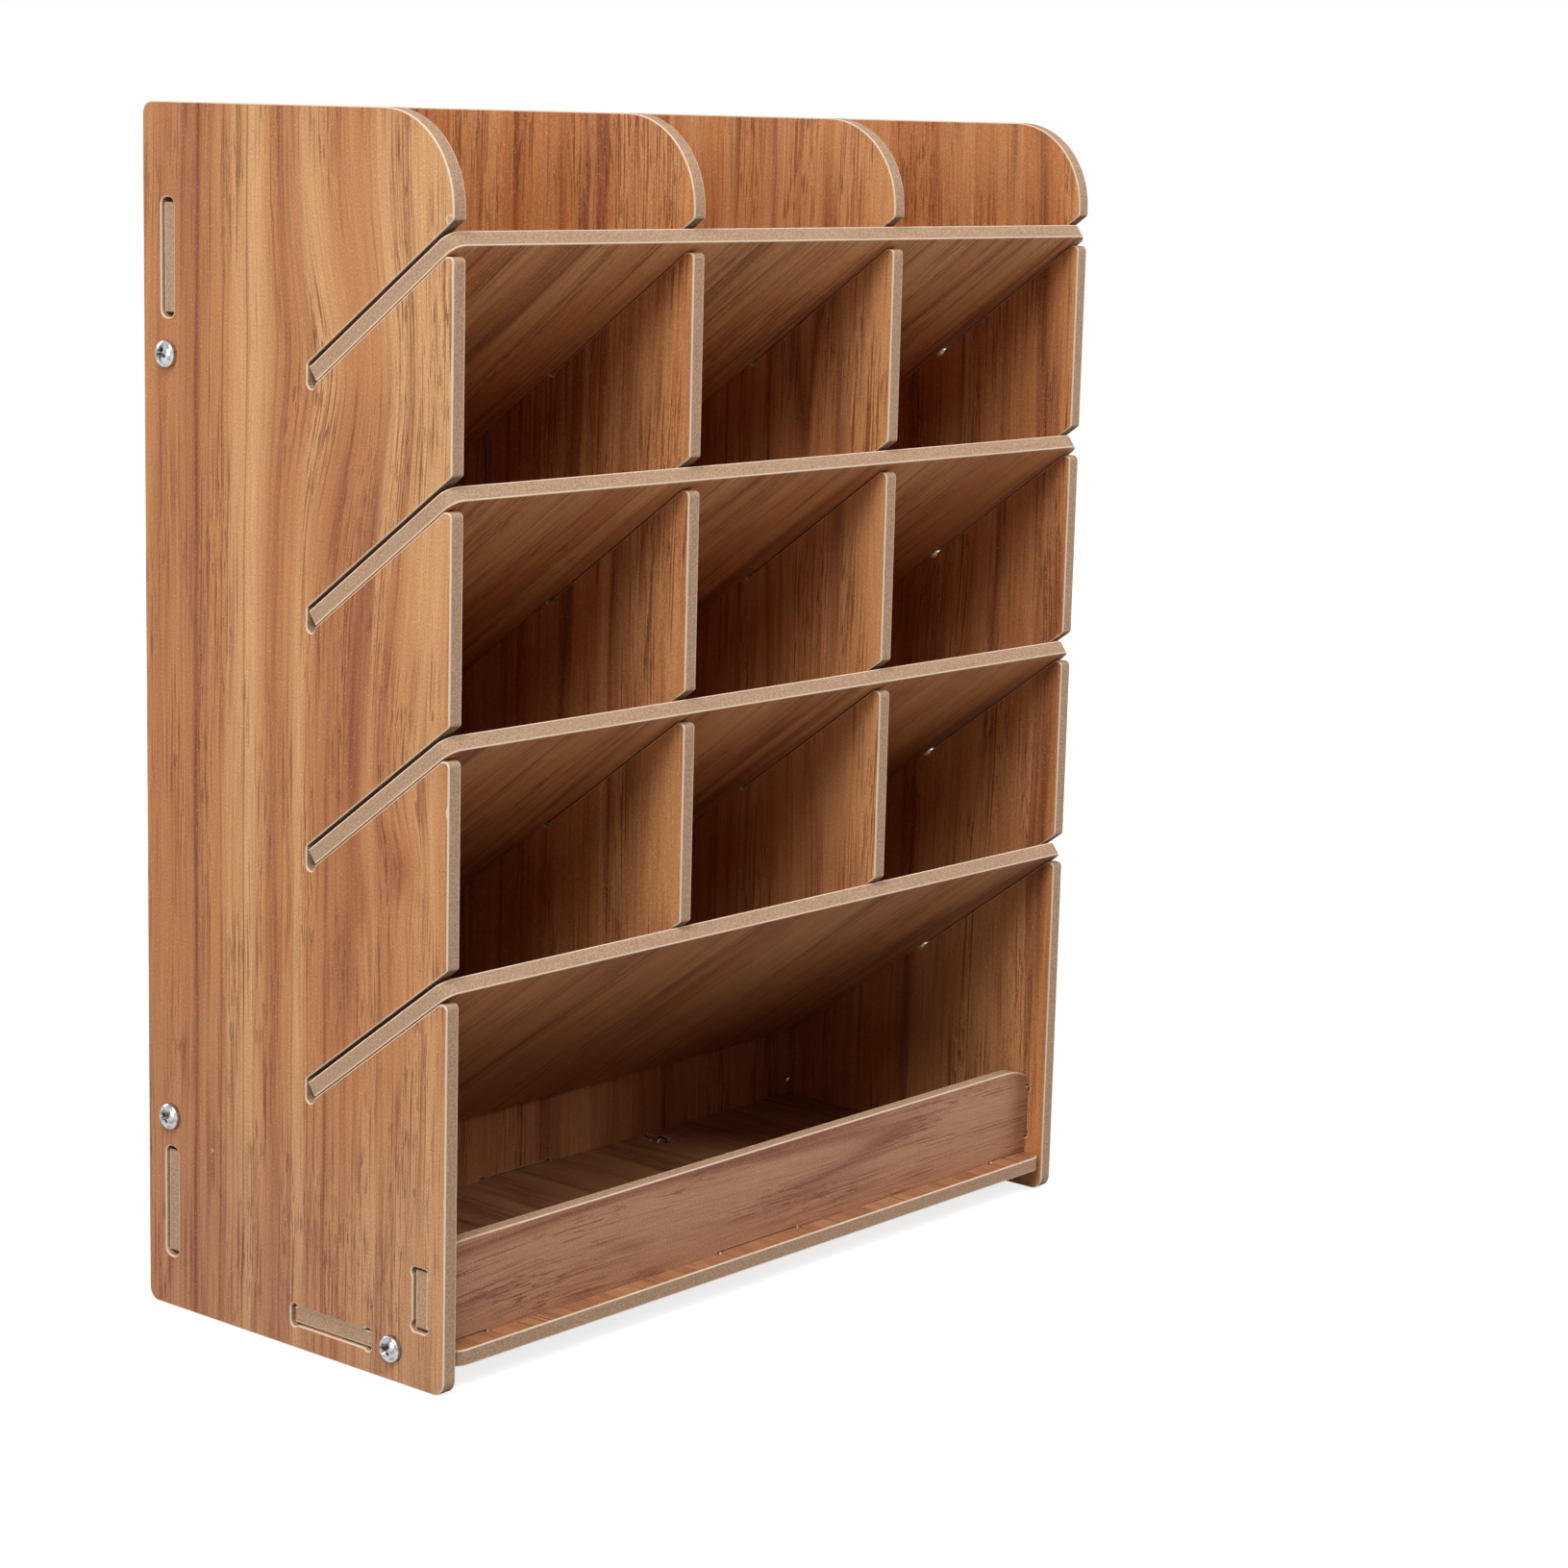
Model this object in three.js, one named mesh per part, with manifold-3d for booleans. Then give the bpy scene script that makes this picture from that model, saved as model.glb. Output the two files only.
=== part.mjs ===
// A free-standing desk organizer cut from flat boards: two side panels, a back panel, two dividers, four
// sloping shelves that slide into open slots, a bottom panel and a front lip. Tenons locate the boards, and
// screws with nuts in T-shaped slots pull them together.
// Millimetres, +Z up. The front faces -Y. The origin is on the ground under the middle of the whole.
// A depth is measured from the side panels' back edges towards the front.
import * as THREE from "three";
import { mergeVertices } from "three/addons/utils/BufferGeometryUtils.js";
import Module from "manifold-3d";

// Whole object
const WIDTH = 271;
const HEIGHT = 335;
const PANEL_DEPTH = 118.5;
const BOARD = 4.5;

// Side panels and dividers
const TOP_FRONT_RADIUS = 25;
const BACK_CORNER_RADIUS = 3.5;
const FOOT_RADIUS = 4;
const DIVIDER_OFFSET = 43; // from the middle to a divider's centre

// Shelves, counted from the top. The slots lie along the shelves and open at the front edge.
const SHELF_COUNT = 4;
const TOP_SHELF_DROP = 5; // from the panels' round corner down to the top shelf's upper front corner
const LOW_SHELF_HEIGHT = 113; // the same corner of the lowest shelf; the rest are spread between
const SHELF_SETBACK = 2; // from the panels' front edges back to that corner
const SHELF_SLOPE = THREE.MathUtils.degToRad(36);
const SHELF_CORNER_RADIUS = 4;
const EAR_LENGTH = 63; // full-width front part of a shelf, which sits in the slots
const EAR_RECESS = 0.2; // ear end below the side panel's outer face
const EAR_END_GAP = 0.53; // ear end to the slot's end wall
const GAP_UNDER_SHELF = 0.3;
const GAP_OVER_SHELF = 1;
const SLOT_RELIEF_RADIUS = 1.6; // round bite in the slot's sharp inner corner
const SLOT_RELIEF_BITE = 0.7; // how far it bites below the slot
const SLOT_CORNER_RADIUS = 1.2;
const BLUNT_DROP = 2; // flat that replaces the sharp tip under each slot's mouth
const BLUNT_RADIUS = 1.5;
const TIP_RADIUS = 1; // the corner above each slot's mouth
const NOTCH_PLAY = 0.4; // each side of a divider in a shelf's notch

// Back panel
const BACK_INSET = 7.7; // depth of its rear face
const BACK_FOOT = 2; // its lower edge above the ground

// Bottom panel and front lip
const BOTTOM_HEIGHT = 7; // underside above the ground
const BOTTOM_CORNER_RADIUS = 4;
const LIP_SETBACK = 7; // from the panels' front edges back to the lip's front face
const LIP_TOP = 39;
const LIP_EASE_LENGTH = 10; // the lip's top edge curves down over this length at each end
const LIP_EASE_DROP = 2.5;

// Mortises, as round cutters leave them, and the tenons in them. The wide cutter makes the round-ended
// mortises, and the narrow one those with reliefs that bite into the long walls at their corners.
const WIDE_CUTTER_RADIUS = 2.2;
const CUTTER_RADIUS = 1.5;
const CORNER_BITE = 0.6;
const SIDE_PLAY = 0.4;
const CORNER_PLAY = 0.4; // a tenon's sharp corner to the mortise's round one
const TENON_RECESS = 0.9; // tenon end below the face that it comes through
const SEAT_GAP = 0.25; // board edge to the board face that it stands against
const MORTISE_LENGTH = 32;
const UPPER_TENON_DROP = 41.2; // panels' top to the middle of the back panel's and dividers' upper tenons
const LOWER_TENON_HEIGHT = 30.7; // middle of the back panel's lower tenons
const DIVIDER_TENON_RISE = 32.2; // a divider's rear foot to the middle of its lower tenon
const BOTTOM_TENON_SETBACK = 43.5; // front edge to the middle of the bottom panel's side tenons
const LIP_TENON_DROP = 14.2; // the lip's top to the middle of its end tenons
const LIP_MORTISE_LENGTH = 17.8;
const LIP_FOOT_OFFSET = 65; // from the middle to the centre of each tenon under the lip
const LIP_FOOT_MORTISE_LENGTH = 96;

// Screws with pan heads and cross recesses, and hexagon nuts
const SCREW_RADIUS = 1.5;
const SCREW_LENGTH = 16;
const HEAD_RADIUS = 3.75;
const HEAD_HEIGHT = 2.7;
const HEAD_EDGE = 1; // straight rim under the dome
const RECESS_SPAN = 4.4;
const RECESS_WIDTH = 0.9;
const RECESS_DEPTH = 1.6;
const TIP_CHAMFER = 0.6;
const HOLE_PLAY = 0.2;
const NUT_ACROSS_FLATS = 5.5;
const NUT_HEIGHT = 2.4;
const NUT_SETBACK = 6.5; // board edge to the nut's near face
const NUT_PLAY = 0.2;
const SLOT_BEYOND_SCREW = 1.5;
const UPPER_SCREW_DROP = 25.8; // below the middle of the upper tenons
const LOWER_SCREW_RISE = 24.8; // above the middle of the lower tenons
const BOTTOM_SCREW_SETBACK = 19.5; // front edge to the screws into the bottom panel's sides
const BACK_SCREW_OFFSET = 58; // from the middle to the screws through the back panel

// Worked out from the above
const slopeCos = Math.cos(SHELF_SLOPE);
const slopeSin = Math.sin(SHELF_SLOPE);
const slopeTan = Math.tan(SHELF_SLOPE);
const outerX = WIDTH / 2;
const innerX = outerX - BOARD;
const backFace = BACK_INSET + BOARD; // depth of the back panel's front face
const lipBack = PANEL_DEPTH - LIP_SETBACK - BOARD;
const bottomTop = BOTTOM_HEIGHT + BOARD;
const shelfFront = PANEL_DEPTH - SHELF_SETBACK; // depth of the shelves' upper front corners
const shelfTipDepth = shelfFront + BOARD * slopeSin; // lower front corners, the foremost points
const backY = Math.max(shelfTipDepth, PANEL_DEPTH) / 2; // Y of depth zero
const boardMiddle = BOARD / 2;
const mortiseWidth = BOARD + 2 * SIDE_PLAY;
const holeRadius = SCREW_RADIUS + HOLE_PLAY;
const topShelfHeight = HEIGHT - TOP_FRONT_RADIUS - TOP_SHELF_DROP;
const shelfPitch = (topShelfHeight - LOW_SHELF_HEIGHT) / (SHELF_COUNT - 1);
const shelfHeights = Array.from({ length: SHELF_COUNT }, (_, i) => topShelfHeight - i * shelfPitch);
const shelfLength = (shelfFront - backFace - SEAT_GAP) / slopeCos;
const slotEnd = shelfFront - EAR_LENGTH * slopeCos - EAR_END_GAP; // depth of the slots' end walls
const upperTenonHeight = HEIGHT - UPPER_TENON_DROP;
const upperScrewHeight = upperTenonHeight - UPPER_SCREW_DROP;
const lowerScrewHeight = LOWER_TENON_HEIGHT + LOWER_SCREW_RISE;
const dividerRear = backFace + SEAT_GAP;
const dividerTenonHeight = dividerFoot(dividerRear) + DIVIDER_TENON_RISE;
const bottomTenonDepth = PANEL_DEPTH - BOTTOM_TENON_SETBACK;
const bottomScrewDepth = PANEL_DEPTH - BOTTOM_SCREW_SETBACK;
const lipTenonHeight = LIP_TOP - LIP_TENON_DROP;

const ARC_STEPS = 4; // half the number of chords in each arc
const ROUND_STEPS = 20;

const wasm = await Module();
wasm.setup();

// A closed geometry as a solid that can be cut.
function solidOf(geometry) {
  geometry.deleteAttribute("normal");
  geometry.deleteAttribute("uv");
  const merged = mergeVertices(geometry, 1e-4);
  return new wasm.Manifold(
    new wasm.Mesh({
      numProp: 3,
      vertProperties: merged.attributes.position.array,
      triVerts: new Uint32Array(merged.index.array),
    }),
  );
}

function geometryOf(solid) {
  const mesh = solid.getMesh();
  const geometry = new THREE.BufferGeometry();
  geometry.setAttribute("position", new THREE.BufferAttribute(mesh.vertProperties, 3));
  geometry.setIndex(new THREE.BufferAttribute(mesh.triVerts, 1));
  geometry.computeVertexNormals();
  return geometry;
}

// Materials
const laminate = new THREE.MeshStandardMaterial({ color: 0xb8794c, roughness: 0.5, metalness: 0 });
const plated = new THREE.MeshStandardMaterial({ color: 0xc9cacc, roughness: 0.25, metalness: 1 });

const organizer = new THREE.Group();

function add(name, geometry, material) {
  const mesh = new THREE.Mesh(geometry, material);
  mesh.name = name;
  organizer.add(mesh);
  return mesh;
}

// A flat board: its outline in the XY plane, one board thick along +Z.
function boardOf(outline) {
  return new THREE.ExtrudeGeometry(outline, { depth: BOARD, bevelEnabled: false, curveSegments: ARC_STEPS });
}

const point = (x, y) => new THREE.Vector2(x, y);

// A straight edge of an outline that runs with the board on its left. Each feature is a profile of
// [run along the edge, depth into the board] points around its place on the edge.
function addEdge(outline, from, to, features) {
  const along = to.clone().sub(from).normalize();
  const inward = point(-along.y, along.x);
  const places = features.map(({ place, profile }) => ({ run: place.clone().sub(from).dot(along), profile }));
  places.sort((a, b) => a.run - b.run);
  for (const { run, profile } of places) {
    for (const [step, depth] of profile) {
      const corner = from.clone().addScaledVector(along, run + step).addScaledVector(inward, depth);
      outline.lineTo(corner.x, corner.y);
    }
  }
  outline.lineTo(to.x, to.y);
}

// A recess of the given width and depth, or a tenon where the depth is negative.
function stepProfile(width, depth) {
  const half = width / 2;
  return [[-half, 0], [-half, depth], [half, depth], [half, 0]];
}

// A tenon for a mortise of the given length, short enough for the round corners that the cutter leaves.
function tenonProfile(mortiseLength, reach, cutterRadius = CUTTER_RADIUS) {
  const cornerReach = Math.sqrt(cutterRadius ** 2 - (cutterRadius - SIDE_PLAY) ** 2);
  const endPlay = cutterRadius + CORNER_PLAY - cornerReach;
  return stepProfile(mortiseLength - 2 * endPlay, -reach);
}

// A slot for a screw with a cross pocket for its nut.
const tSlotProfile = (() => {
  const nutNear = NUT_SETBACK - NUT_PLAY;
  const nutFar = NUT_SETBACK + NUT_HEIGHT + NUT_PLAY;
  const nutHalf = NUT_ACROSS_FLATS / 2 / Math.cos(Math.PI / 6) + NUT_PLAY;
  const end = SCREW_LENGTH - BOARD - SEAT_GAP + SLOT_BEYOND_SCREW;
  const half = [[holeRadius, 0], [holeRadius, nutNear], [nutHalf, nutNear], [nutHalf, nutFar],
    [holeRadius, nutFar], [holeRadius, end]];
  return [...half.map(([run, depth]) => [-run, depth]), ...half.reverse()];
})();

// A mortise with its long side along local Y, or along X where it is level. Its corners are round. Where it
// is relieved, they bite into the long walls.
function mortise({ x, y, length, level = false, relieved = false }) {
  const turn = level ? Math.PI / 2 : 0;
  const radius = relieved ? CUTTER_RADIUS : WIDE_CUTTER_RADIUS;
  const bite = relieved ? CORNER_BITE : 0;
  const lift = Math.acos((radius - bite) / radius);
  const across = mortiseWidth / 2 - radius + bite;
  const along = length / 2 - radius;
  const corners = [
    [across, along, -lift, Math.PI / 2],
    [-across, along, Math.PI / 2, Math.PI + lift],
    [-across, -along, Math.PI - lift, Math.PI * 1.5],
    [across, -along, -Math.PI / 2, lift],
  ];
  const hole = new THREE.Path();
  for (const [dx, dy, start, end] of corners) {
    const centre = point(dx, dy).rotateAround(point(0, 0), turn).add(point(x, y));
    hole.absarc(centre.x, centre.y, radius, start + turn, end + turn, false);
  }
  hole.closePath();
  return hole;
}

function roundHole(x, y) {
  return new THREE.Path().absarc(x, y, holeRadius, 0, 2 * Math.PI, false);
}

// Heights of a slot's lower and upper walls at a depth, for the shelf whose upper front corner is given.
function slotFloor(shelfHeight, depth) {
  return shelfTop(shelfHeight, depth) - (BOARD + GAP_UNDER_SHELF) / slopeCos;
}

function slotRoof(shelfHeight, depth) {
  return shelfTop(shelfHeight, depth) + GAP_OVER_SHELF / slopeCos;
}

function shelfTop(shelfHeight, depth) {
  return shelfHeight + (depth - shelfFront) * slopeTan;
}

// Height of a divider's lower edge, which stands on the lowest shelf.
function dividerFoot(depth) {
  return shelfTop(LOW_SHELF_HEIGHT, depth) + GAP_UNDER_SHELF / slopeCos;
}

// One sloping slot, walked from the blunt tip below its mouth to the round tip above it.
function addSlot(outline, shelfHeight) {
  const mouthFloor = slotFloor(shelfHeight, PANEL_DEPTH);
  const flat = mouthFloor - BLUNT_DROP;
  outline.absarc(PANEL_DEPTH - BLUNT_RADIUS, flat - BLUNT_RADIUS, BLUNT_RADIUS, 0, Math.PI / 2, false);
  outline.lineTo(PANEL_DEPTH - BLUNT_DROP / slopeTan, flat);

  // The relief's centre is a little above the floor, and its circle just bites into the end wall.
  const lift = SLOT_RELIEF_RADIUS - SLOT_RELIEF_BITE;
  const reliefDepth = slotEnd + SLOT_RELIEF_RADIUS;
  const reliefHeight = slotFloor(shelfHeight, reliefDepth) + lift / slopeCos;
  const meetsFloor = -Math.PI / 2 + SHELF_SLOPE + Math.acos(lift / SLOT_RELIEF_RADIUS);
  outline.absarc(reliefDepth, reliefHeight, SLOT_RELIEF_RADIUS, meetsFloor, -Math.PI, true);

  // The end wall is upright, and a round corner leads into the roof.
  const wallToRoof = SLOT_CORNER_RADIUS * Math.tan((Math.PI / 2 - SHELF_SLOPE) / 2);
  const cornerHeight = slotRoof(shelfHeight, slotEnd) - wallToRoof;
  outline.absarc(slotEnd + SLOT_CORNER_RADIUS, cornerHeight, SLOT_CORNER_RADIUS,
    Math.PI, Math.PI / 2 + SHELF_SLOPE, true);

  const roofToFront = TIP_RADIUS * Math.tan((Math.PI / 2 - SHELF_SLOPE) / 2);
  const tipHeight = slotRoof(shelfHeight, PANEL_DEPTH) + roofToFront;
  outline.absarc(PANEL_DEPTH - TIP_RADIUS, tipHeight, TIP_RADIUS, SHELF_SLOPE - Math.PI / 2, 0, false);
}

// The round top front corner that side panels and dividers share.
function addTopFrontCorner(outline) {
  const x = PANEL_DEPTH - TOP_FRONT_RADIUS;
  const y = HEIGHT - TOP_FRONT_RADIUS;
  outline.absarc(x, y, TOP_FRONT_RADIUS, 0, Math.PI / 4, false);
  outline.absarc(x, y, TOP_FRONT_RADIUS, Math.PI / 4, Math.PI / 2, false);
}

// Turns a board with a depth and height outline upright, from the given X towards -X.
function standSideways(mesh, x) {
  const frame = new THREE.Matrix4().makeBasis(
    new THREE.Vector3(0, -1, 0),
    new THREE.Vector3(0, 0, 1),
    new THREE.Vector3(-1, 0, 0),
  );
  mesh.quaternion.setFromRotationMatrix(frame);
  mesh.position.set(x, backY, 0);
}

// Turns a board with a width and height outline upright, its rear face at the given depth.
function standAcross(mesh, rearDepth) {
  mesh.rotation.x = Math.PI / 2;
  mesh.position.y = backY - rearDepth;
}

// Side panels
function sidePanelOutline() {
  const outline = new THREE.Shape();
  outline.absarc(BACK_CORNER_RADIUS, BACK_CORNER_RADIUS, BACK_CORNER_RADIUS, Math.PI, 1.5 * Math.PI, false);
  outline.absarc(PANEL_DEPTH - FOOT_RADIUS, FOOT_RADIUS, FOOT_RADIUS, -Math.PI / 2, 0, false);
  for (const shelfHeight of shelfHeights.toReversed()) addSlot(outline, shelfHeight);
  addTopFrontCorner(outline);
  outline.absarc(BACK_CORNER_RADIUS, HEIGHT - BACK_CORNER_RADIUS, BACK_CORNER_RADIUS,
    Math.PI / 2, Math.PI, false);
  outline.closePath();

  const backMiddle = BACK_INSET + boardMiddle;
  const bottomMiddle = BOTTOM_HEIGHT + boardMiddle;
  for (const y of [upperTenonHeight, LOWER_TENON_HEIGHT])
    outline.holes.push(mortise({ x: backMiddle, y, length: MORTISE_LENGTH }));
  outline.holes.push(
    mortise({
      x: bottomTenonDepth,
      y: bottomMiddle,
      length: MORTISE_LENGTH,
      level: true,
      relieved: true,
    }),
    mortise({
      x: lipBack + boardMiddle,
      y: lipTenonHeight,
      length: LIP_MORTISE_LENGTH,
      relieved: true,
    }),
    roundHole(backMiddle, upperScrewHeight),
    roundHole(backMiddle, lowerScrewHeight),
    roundHole(bottomScrewDepth, bottomMiddle),
  );
  return outline;
}

standSideways(add("left_side_panel", boardOf(sidePanelOutline()), laminate), -innerX);
standSideways(add("right_side_panel", boardOf(sidePanelOutline()), laminate), outerX);

// Dividers stand on the bottom shelf. Their tenons go through the back panel.
function dividerOutline() {
  const rear = dividerRear;
  const outline = new THREE.Shape();
  outline.moveTo(rear, dividerFoot(rear));
  outline.lineTo(PANEL_DEPTH, dividerFoot(PANEL_DEPTH));
  for (const shelfHeight of shelfHeights.slice(0, -1).toReversed()) addSlot(outline, shelfHeight);
  addTopFrontCorner(outline);
  outline.lineTo(rear, HEIGHT);
  const tenon = tenonProfile(MORTISE_LENGTH, BOARD + SEAT_GAP - TENON_RECESS, WIDE_CUTTER_RADIUS);
  addEdge(outline, point(rear, HEIGHT), point(rear, dividerFoot(rear)), [
    { place: point(rear, upperTenonHeight), profile: tenon },
    { place: point(rear, dividerTenonHeight), profile: tenon },
  ]);
  return outline;
}

standSideways(add("left_divider", boardOf(dividerOutline()), laminate), -DIVIDER_OFFSET + boardMiddle);
standSideways(add("right_divider", boardOf(dividerOutline()), laminate), DIVIDER_OFFSET + boardMiddle);

// Back panel, between the side panels
function backPanelOutline() {
  const edgeX = innerX - SEAT_GAP;
  const tenon = tenonProfile(MORTISE_LENGTH, BOARD + SEAT_GAP - TENON_RECESS, WIDE_CUTTER_RADIUS);
  const sideFeatures = (x) => [
    { place: point(x, LOWER_TENON_HEIGHT), profile: tenon },
    { place: point(x, lowerScrewHeight), profile: tSlotProfile },
    { place: point(x, upperScrewHeight), profile: tSlotProfile },
    { place: point(x, upperTenonHeight), profile: tenon },
  ];
  const outline = new THREE.Shape();
  outline.moveTo(-edgeX, BACK_FOOT);
  outline.lineTo(edgeX, BACK_FOOT);
  addEdge(outline, point(edgeX, BACK_FOOT), point(edgeX, HEIGHT), sideFeatures(edgeX));
  outline.lineTo(-edgeX, HEIGHT);
  addEdge(outline, point(-edgeX, HEIGHT), point(-edgeX, BACK_FOOT), sideFeatures(-edgeX));

  for (const x of [-DIVIDER_OFFSET, DIVIDER_OFFSET]) {
    for (const y of [upperTenonHeight, dividerTenonHeight])
      outline.holes.push(mortise({ x, y, length: MORTISE_LENGTH }));
  }
  const bottomMiddle = BOTTOM_HEIGHT + boardMiddle;
  outline.holes.push(
    mortise({ x: 0, y: bottomMiddle, length: MORTISE_LENGTH, level: true, relieved: true }),
    roundHole(-BACK_SCREW_OFFSET, bottomMiddle),
    roundHole(BACK_SCREW_OFFSET, bottomMiddle),
  );
  return outline;
}

standAcross(add("back_panel", boardOf(backPanelOutline()), laminate), BACK_INSET);

// Bottom panel. Its outline is in the part's own X and Y.
function bottomPanelOutline() {
  const edgeX = innerX - SEAT_GAP;
  const rearY = backY - backFace - SEAT_GAP;
  const frontY = backY - PANEL_DEPTH;
  const cornerY = frontY + BOTTOM_CORNER_RADIUS;
  const cornerX = edgeX - BOTTOM_CORNER_RADIUS;
  const tenon = tenonProfile(MORTISE_LENGTH, BOARD + SEAT_GAP - TENON_RECESS);
  const sideFeatures = (x) => [
    { place: point(x, backY - bottomTenonDepth), profile: tenon },
    { place: point(x, backY - bottomScrewDepth), profile: tSlotProfile },
  ];
  const outline = new THREE.Shape();
  outline.absarc(-cornerX, cornerY, BOTTOM_CORNER_RADIUS, Math.PI, 1.5 * Math.PI, false);
  outline.absarc(cornerX, cornerY, BOTTOM_CORNER_RADIUS, 1.5 * Math.PI, 2 * Math.PI, false);
  addEdge(outline, point(edgeX, cornerY), point(edgeX, rearY), sideFeatures(edgeX));
  addEdge(outline, point(edgeX, rearY), point(-edgeX, rearY), [
    { place: point(BACK_SCREW_OFFSET, rearY), profile: tSlotProfile },
    { place: point(0, rearY), profile: tenon },
    { place: point(-BACK_SCREW_OFFSET, rearY), profile: tSlotProfile },
  ]);
  addEdge(outline, point(-edgeX, rearY), point(-edgeX, cornerY), sideFeatures(-edgeX));
  for (const x of [-LIP_FOOT_OFFSET, LIP_FOOT_OFFSET]) {
    outline.holes.push(
      mortise({
        x,
        y: backY - lipBack - boardMiddle,
        length: LIP_FOOT_MORTISE_LENGTH,
        level: true,
        relieved: true,
      }),
    );
  }
  return outline;
}

add("bottom_panel", boardOf(bottomPanelOutline()), laminate).position.z = BOTTOM_HEIGHT;

// Front lip, with tenons at its ends and two long ones underneath
function frontLipOutline() {
  const edgeX = innerX - SEAT_GAP;
  const foot = bottomTop + SEAT_GAP;
  const easedTop = LIP_TOP - LIP_EASE_DROP;
  const tenon = tenonProfile(LIP_MORTISE_LENGTH, BOARD + SEAT_GAP - TENON_RECESS);
  const footTenon = tenonProfile(LIP_FOOT_MORTISE_LENGTH, BOARD + SEAT_GAP - TENON_RECESS);
  const easeRadius = (LIP_EASE_LENGTH ** 2 + LIP_EASE_DROP ** 2) / (2 * LIP_EASE_DROP);
  const easeAngle = Math.asin(LIP_EASE_LENGTH / easeRadius);
  const easeX = edgeX - LIP_EASE_LENGTH;
  const easeY = LIP_TOP - easeRadius;
  const up = Math.PI / 2;

  const outline = new THREE.Shape();
  outline.moveTo(-edgeX, foot);
  addEdge(outline, point(-edgeX, foot), point(edgeX, foot), [
    { place: point(-LIP_FOOT_OFFSET, foot), profile: footTenon },
    { place: point(LIP_FOOT_OFFSET, foot), profile: footTenon },
  ]);
  addEdge(outline, point(edgeX, foot), point(edgeX, easedTop), [
    { place: point(edgeX, lipTenonHeight), profile: tenon },
  ]);
  outline.absarc(easeX, easeY, easeRadius, up - easeAngle, up, false);
  outline.absarc(-easeX, easeY, easeRadius, up, up + easeAngle, false);
  addEdge(outline, point(-edgeX, easedTop), point(-edgeX, foot), [
    { place: point(-edgeX, lipTenonHeight), profile: tenon },
  ]);
  return outline;
}

standAcross(add("front_lip", boardOf(frontLipOutline()), laminate), lipBack);

// Shelves. The outline's Y runs from the front edge towards the back along the board, and the board's
// upper face is at Z zero, so that each mesh turns about its upper front corner.
function shelfOutline(notched) {
  const earX = outerX - EAR_RECESS;
  const rearX = innerX - SEAT_GAP;
  const notch = stepProfile(BOARD + 2 * NOTCH_PLAY, shelfLength - EAR_LENGTH);
  const notchPlaces = [point(DIVIDER_OFFSET, shelfLength), point(-DIVIDER_OFFSET, shelfLength)];
  const notches = notchPlaces.map((place) => ({ place, profile: notch }));
  const outline = new THREE.Shape();
  const cornerX = earX - SHELF_CORNER_RADIUS;
  outline.absarc(-cornerX, SHELF_CORNER_RADIUS, SHELF_CORNER_RADIUS, Math.PI, 1.5 * Math.PI, false);
  outline.absarc(cornerX, SHELF_CORNER_RADIUS, SHELF_CORNER_RADIUS, 1.5 * Math.PI, 2 * Math.PI, false);
  outline.lineTo(earX, EAR_LENGTH);
  outline.lineTo(rearX, EAR_LENGTH);
  outline.lineTo(rearX, shelfLength);
  addEdge(outline, point(rearX, shelfLength), point(-rearX, shelfLength), notched ? notches : []);
  outline.lineTo(-rearX, EAR_LENGTH);
  outline.lineTo(-earX, EAR_LENGTH);
  outline.closePath();
  return outline;
}

shelfHeights.forEach((shelfHeight, i) => {
  const onBottomShelf = i === SHELF_COUNT - 1; // the dividers stand on it, so it has no notches
  const geometry = boardOf(shelfOutline(!onBottomShelf)).translate(0, 0, -BOARD);
  const shelf = add(`shelf_${i + 1}`, geometry, laminate);
  shelf.rotation.x = -SHELF_SLOPE;
  shelf.position.set(0, backY - shelfFront, shelfHeight);
});

// Screws point along +Z from their heads, whose undersides are at Z zero.
function screwGeometry() {
  const domeSteps = 5;
  const dome = HEAD_HEIGHT - HEAD_EDGE;
  const profile = [];
  for (let i = 0; i <= domeSteps; i += 1) {
    const angle = (i / domeSteps) * (Math.PI / 2);
    profile.push(point(HEAD_RADIUS * Math.sin(angle), -HEAD_EDGE - dome * Math.cos(angle)));
  }
  profile.push(point(HEAD_RADIUS, 0), point(SCREW_RADIUS, 0));
  profile.push(point(SCREW_RADIUS, SCREW_LENGTH - TIP_CHAMFER));
  profile.push(point(SCREW_RADIUS - TIP_CHAMFER, SCREW_LENGTH), point(0, SCREW_LENGTH));
  const turned = new THREE.LatheGeometry(profile, ROUND_STEPS).rotateX(Math.PI / 2);

  let screw = solidOf(turned);
  for (const [x, y] of [[RECESS_SPAN, RECESS_WIDTH], [RECESS_WIDTH, RECESS_SPAN]]) {
    const arm = new THREE.BoxGeometry(x, y, 2 * RECESS_DEPTH).translate(0, 0, -HEAD_HEIGHT);
    screw = screw.subtract(solidOf(arm));
  }
  return geometryOf(screw);
}

function nutGeometry() {
  const cornerRadius = NUT_ACROSS_FLATS / 2 / Math.cos(Math.PI / 6);
  const turns = [0, 1, 2, 3, 4, 5].map((i) => (i * Math.PI) / 3);
  const corners = turns.map((turn) => point(cornerRadius, 0).rotateAround(point(0, 0), turn));
  const outline = new THREE.Shape(corners);
  outline.holes.push(roundHole(0, 0));
  const settings = { depth: NUT_HEIGHT, bevelEnabled: false, curveSegments: 8 };
  const body = new THREE.ExtrudeGeometry(outline, settings);
  return body.translate(0, 0, BOARD + SEAT_GAP + NUT_SETBACK);
}

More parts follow.
